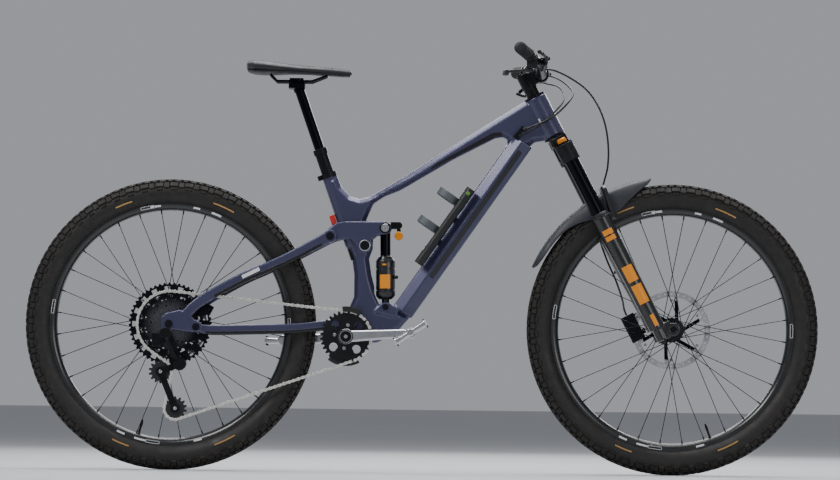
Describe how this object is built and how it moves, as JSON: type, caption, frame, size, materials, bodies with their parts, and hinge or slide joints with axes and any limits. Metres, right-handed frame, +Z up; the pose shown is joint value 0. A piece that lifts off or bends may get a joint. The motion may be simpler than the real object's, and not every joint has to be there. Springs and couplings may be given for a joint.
{
  "type": "full-suspension mountain bike",
  "caption": "Long-travel mountain bike with sloping frame, linkage rear suspension, telescopic fork, disc brakes, dropper seat post and knobbly tyres.",
  "frame": {"origin": "on the ground, midway between the two axles, in the bike's middle plane", "axes": "+X towards the front wheel, +Y to the rider's left, +Z up"},
  "size_m": [2.047, 0.7886, 1.0841],
  "materials": {
    "frame_paint": "satin metallic paint over moulded carbon",
    "black_anodised": "black anodised, bead blasted",
    "black_lowers": "satin black paint",
    "hard_black": "hard anodised, polished",
    "silver_alloy": "brushed and clear anodised",
    "bare_steel": "stainless, fine ground",
    "chain_steel": "nickel plated",
    "cog_steel": "dark coated steel",
    "tyre_rubber": "matt tread rubber",
    "rim_carbon": "satin carbon laminate",
    "black_plastic": "moulded, fine texture",
    "grip_rubber": "ribbed, matt",
    "saddle_cover": "synthetic leather, fine grain",
    "guard_plastic": "flexible sheet, satin",
    "accent_paint": "orange anodised and printed",
    "cage_grey": "glass filled nylon",
    "light_red": "translucent red lens",
    "hose_black": "extruded housing"
  },
  "bodies": {
    "frame": {"front_triangle": "frame_paint", "headset_cups": "black_anodised", "bottom_bracket": "black_anodised", "dropper_outer": "black_anodised", "frame_hardware": "silver_alloy", "chain_guide": "black_plastic", "bottle_cage": "cage_grey", "mini_pump": "black_anodised", "rear_light": "light_red", "bar_hoses": "hose_black", "chain": "chain_steel"},
    "steering": {"fork_crown": "black_anodised", "stanchions": "hard_black", "stem": "black_anodised", "handlebar": "rim_carbon", "grips": "grip_rubber", "brake_bodies": "black_anodised", "control_mounts": "black_plastic", "front_brake_hose": "hose_black"},
    "brake_lever_right": {"brake_lever_right": "silver_alloy"},
    "brake_lever_left": {"brake_lever_left": "silver_alloy"},
    "shift_paddle": {"shift_paddle": "black_plastic"},
    "dropper_lever": {"dropper_lever": "black_anodised"},
    "fork_knob": {"fork_knob": "accent_paint"},
    "fork_lowers": {"fork_lowers": "black_lowers", "fork_hardware": "black_plastic", "front_axle": "black_anodised", "front_caliper": "black_anodised", "mudguard": "guard_plastic"},
    "front_wheel": {"front_tyre": "tyre_rubber", "front_rim": "rim_carbon", "front_spokes": "hard_black", "front_hub": "black_anodised", "front_rotor": "bare_steel"},
    "rear_wheel": {"rear_tyre": "tyre_rubber", "rear_rim": "rim_carbon", "rear_spokes": "hard_black", "rear_hub": "black_anodised", "rear_rotor": "bare_steel"},
    "cassette": {"cassette": "cog_steel"},
    "chainstay": {"chainstay": "frame_paint"},
    "seatstay": {"seatstay": "frame_paint", "horst_bolts": "silver_alloy", "rear_axle": "black_anodised", "rear_caliper": "black_anodised", "derailleur_body": "black_anodised"},
    "derailleur_cage": {"derailleur_cage": "black_anodised"},
    "upper_pulley": {"upper_pulley": "black_plastic"},
    "lower_pulley": {"lower_pulley": "black_plastic"},
    "crank": {"crank_arms": "silver_alloy", "chainring": "black_anodised"},
    "pedal_right": {"pedal_right": "silver_alloy"},
    "pedal_left": {"pedal_left": "silver_alloy"},
    "rocker": {"rocker_link": "frame_paint"},
    "shock_can": {"shock_can": "black_lowers"},
    "shock_damper": {"shock_damper": "black_anodised"},
    "shock_knob": {"shock_knob": "accent_paint"},
    "seat": {"saddle": "saddle_cover", "saddle_rails": "hard_black", "dropper_inner": "hard_black"}
  },
  "joints": [
    {"name": "steering", "type": "hinge", "parent": "frame", "child": "steering", "pos_m": [0.33192, 0, 0.88739], "axis": [-0.4617, 0, 0.887], "range_deg": [-75, 75], "deforming": ["bar_hoses"]},
    {"name": "fork_stroke", "type": "slide", "parent": "steering", "child": "fork_lowers", "axis": [-0.4617, 0, 0.887], "range_m": [0, 0.155], "stiffness_N_per_m": 4000, "springref_m": -0.05, "deforming": ["front_brake_hose"]},
    {"name": "front_wheel_spin", "type": "hinge", "parent": "fork_lowers", "child": "front_wheel", "pos_m": [0.648, 0, 0.3755], "axis": [0, 1, 0], "continuous": true},
    {"name": "fork_knob_turn", "type": "hinge", "parent": "steering", "child": "fork_knob", "pos_m": [0.3561, -0.066, 0.85826], "axis": [-0.4617, 0, 0.887], "range_deg": [0, 270]},
    {"name": "brake_lever_right", "type": "hinge", "parent": "steering", "child": "brake_lever_right", "pos_m": [0.309, -0.226, 1.048], "axis": [0, 0, -1], "range_deg": [0, 8.5], "stiffness_Nm_per_rad": 2},
    {"name": "brake_lever_left", "type": "hinge", "parent": "steering", "child": "brake_lever_left", "pos_m": [0.309, 0.226, 1.048], "axis": [0, 0, 1], "range_deg": [0, 8.5], "stiffness_Nm_per_rad": 2},
    {"name": "shift_paddle", "type": "hinge", "parent": "steering", "child": "shift_paddle", "pos_m": [0.27, -0.234, 1.026], "axis": [0, 0, 1], "range_deg": [-6, 6], "stiffness_Nm_per_rad": 1},
    {"name": "dropper_lever", "type": "hinge", "parent": "steering", "child": "dropper_lever", "pos_m": [0.276, 0.189, 1.026], "axis": [0, 0, -1], "range_deg": [0, 15], "stiffness_Nm_per_rad": 1},
    {"name": "main_pivot", "type": "hinge", "parent": "frame", "child": "chainstay", "pos_m": [-0.183, 0, 0.389], "axis": [0, 1, 0], "range_deg": [0, 20], "stiffness_Nm_per_rad": 600, "springref_deg": -11.46, "deforming": ["chain"]},
    {"name": "horst_pivot", "type": "hinge", "parent": "chainstay", "child": "seatstay", "pos_m": [-0.578, 0, 0.368], "axis": [0, 1, 0], "range_deg": [-9.2, 0]},
    {"name": "rocker_pivot", "type": "hinge", "parent": "frame", "child": "rocker", "pos_m": [-0.148, 0, 0.584], "axis": [0, 1, 0], "range_deg": [0, 55]},
    {"name": "shock_eye", "type": "hinge", "parent": "frame", "child": "shock_can", "pos_m": [-0.093, 0, 0.426], "axis": [0, 1, 0], "range_deg": [0, 7.5]},
    {"name": "shock_stroke", "type": "slide", "parent": "shock_can", "child": "shock_damper", "axis": [0.0147, 0, -0.9999], "range_m": [0, 0.0605]},
    {"name": "shock_knob_turn", "type": "hinge", "parent": "shock_damper", "child": "shock_knob", "pos_m": [-0.061, -0.018, 0.61], "axis": [0, 1, 0], "range_deg": [0, 180]},
    {"name": "rear_wheel_spin", "type": "hinge", "parent": "seatstay", "child": "rear_wheel", "pos_m": [-0.648, 0, 0.3755], "axis": [0, 1, 0], "continuous": true},
    {"name": "crank_spin", "type": "hinge", "parent": "frame", "child": "crank", "pos_m": [-0.193, 0, 0.348], "axis": [0, 1, 0], "continuous": true},
    {"name": "cassette_spin", "type": "hinge", "parent": "seatstay", "child": "cassette", "pos_m": [-0.648, 0, 0.3755], "axis": [0, 1, 0], "continuous": true},
    {"name": "upper_pulley_spin", "type": "hinge", "parent": "derailleur_cage", "child": "upper_pulley", "pos_m": [-0.671, 0, 0.253], "axis": [0, 1, 0], "continuous": true},
    {"name": "lower_pulley_spin", "type": "hinge", "parent": "derailleur_cage", "child": "lower_pulley", "pos_m": [-0.632, 0, 0.1585], "axis": [0, 1, 0], "continuous": true},
    {"name": "cage_pivot", "type": "hinge", "parent": "seatstay", "child": "derailleur_cage", "pos_m": [-0.62, -0.037, 0.273], "axis": [0, 1, 0], "range_deg": [-35, 0], "stiffness_Nm_per_rad": 2, "springref_deg": 17.19},
    {"name": "pedal_right_spin", "type": "hinge", "parent": "crank", "child": "pedal_right", "pos_m": [-0.02533, 0, 0.35855], "axis": [0, 1, 0], "continuous": true},
    {"name": "pedal_left_spin", "type": "hinge", "parent": "crank", "child": "pedal_left", "pos_m": [-0.36067, 0, 0.33745], "axis": [0, 1, 0], "continuous": true},
    {"name": "seat_post", "type": "slide", "parent": "frame", "child": "seat", "axis": [0.3322, 0, -0.9432], "range_m": [0, 0.155]}
  ],
  "couplings": [
    {"joint": "horst_pivot", "follows": "main_pivot", "ratio": -0.455},
    {"joint": "rocker_pivot", "follows": "main_pivot", "ratio": 2.738},
    {"joint": "shock_eye", "follows": "main_pivot", "ratio": 0.371},
    {"joint": "shock_stroke", "follows": "main_pivot", "m_per_rad": 0.1723},
    {"joint": "cassette_spin", "follows": "crank_spin", "ratio": 0.76191},
    {"joint": "upper_pulley_spin", "follows": "crank_spin", "ratio": -2.2857},
    {"joint": "lower_pulley_spin", "follows": "crank_spin", "ratio": 2.2857}
  ]
}
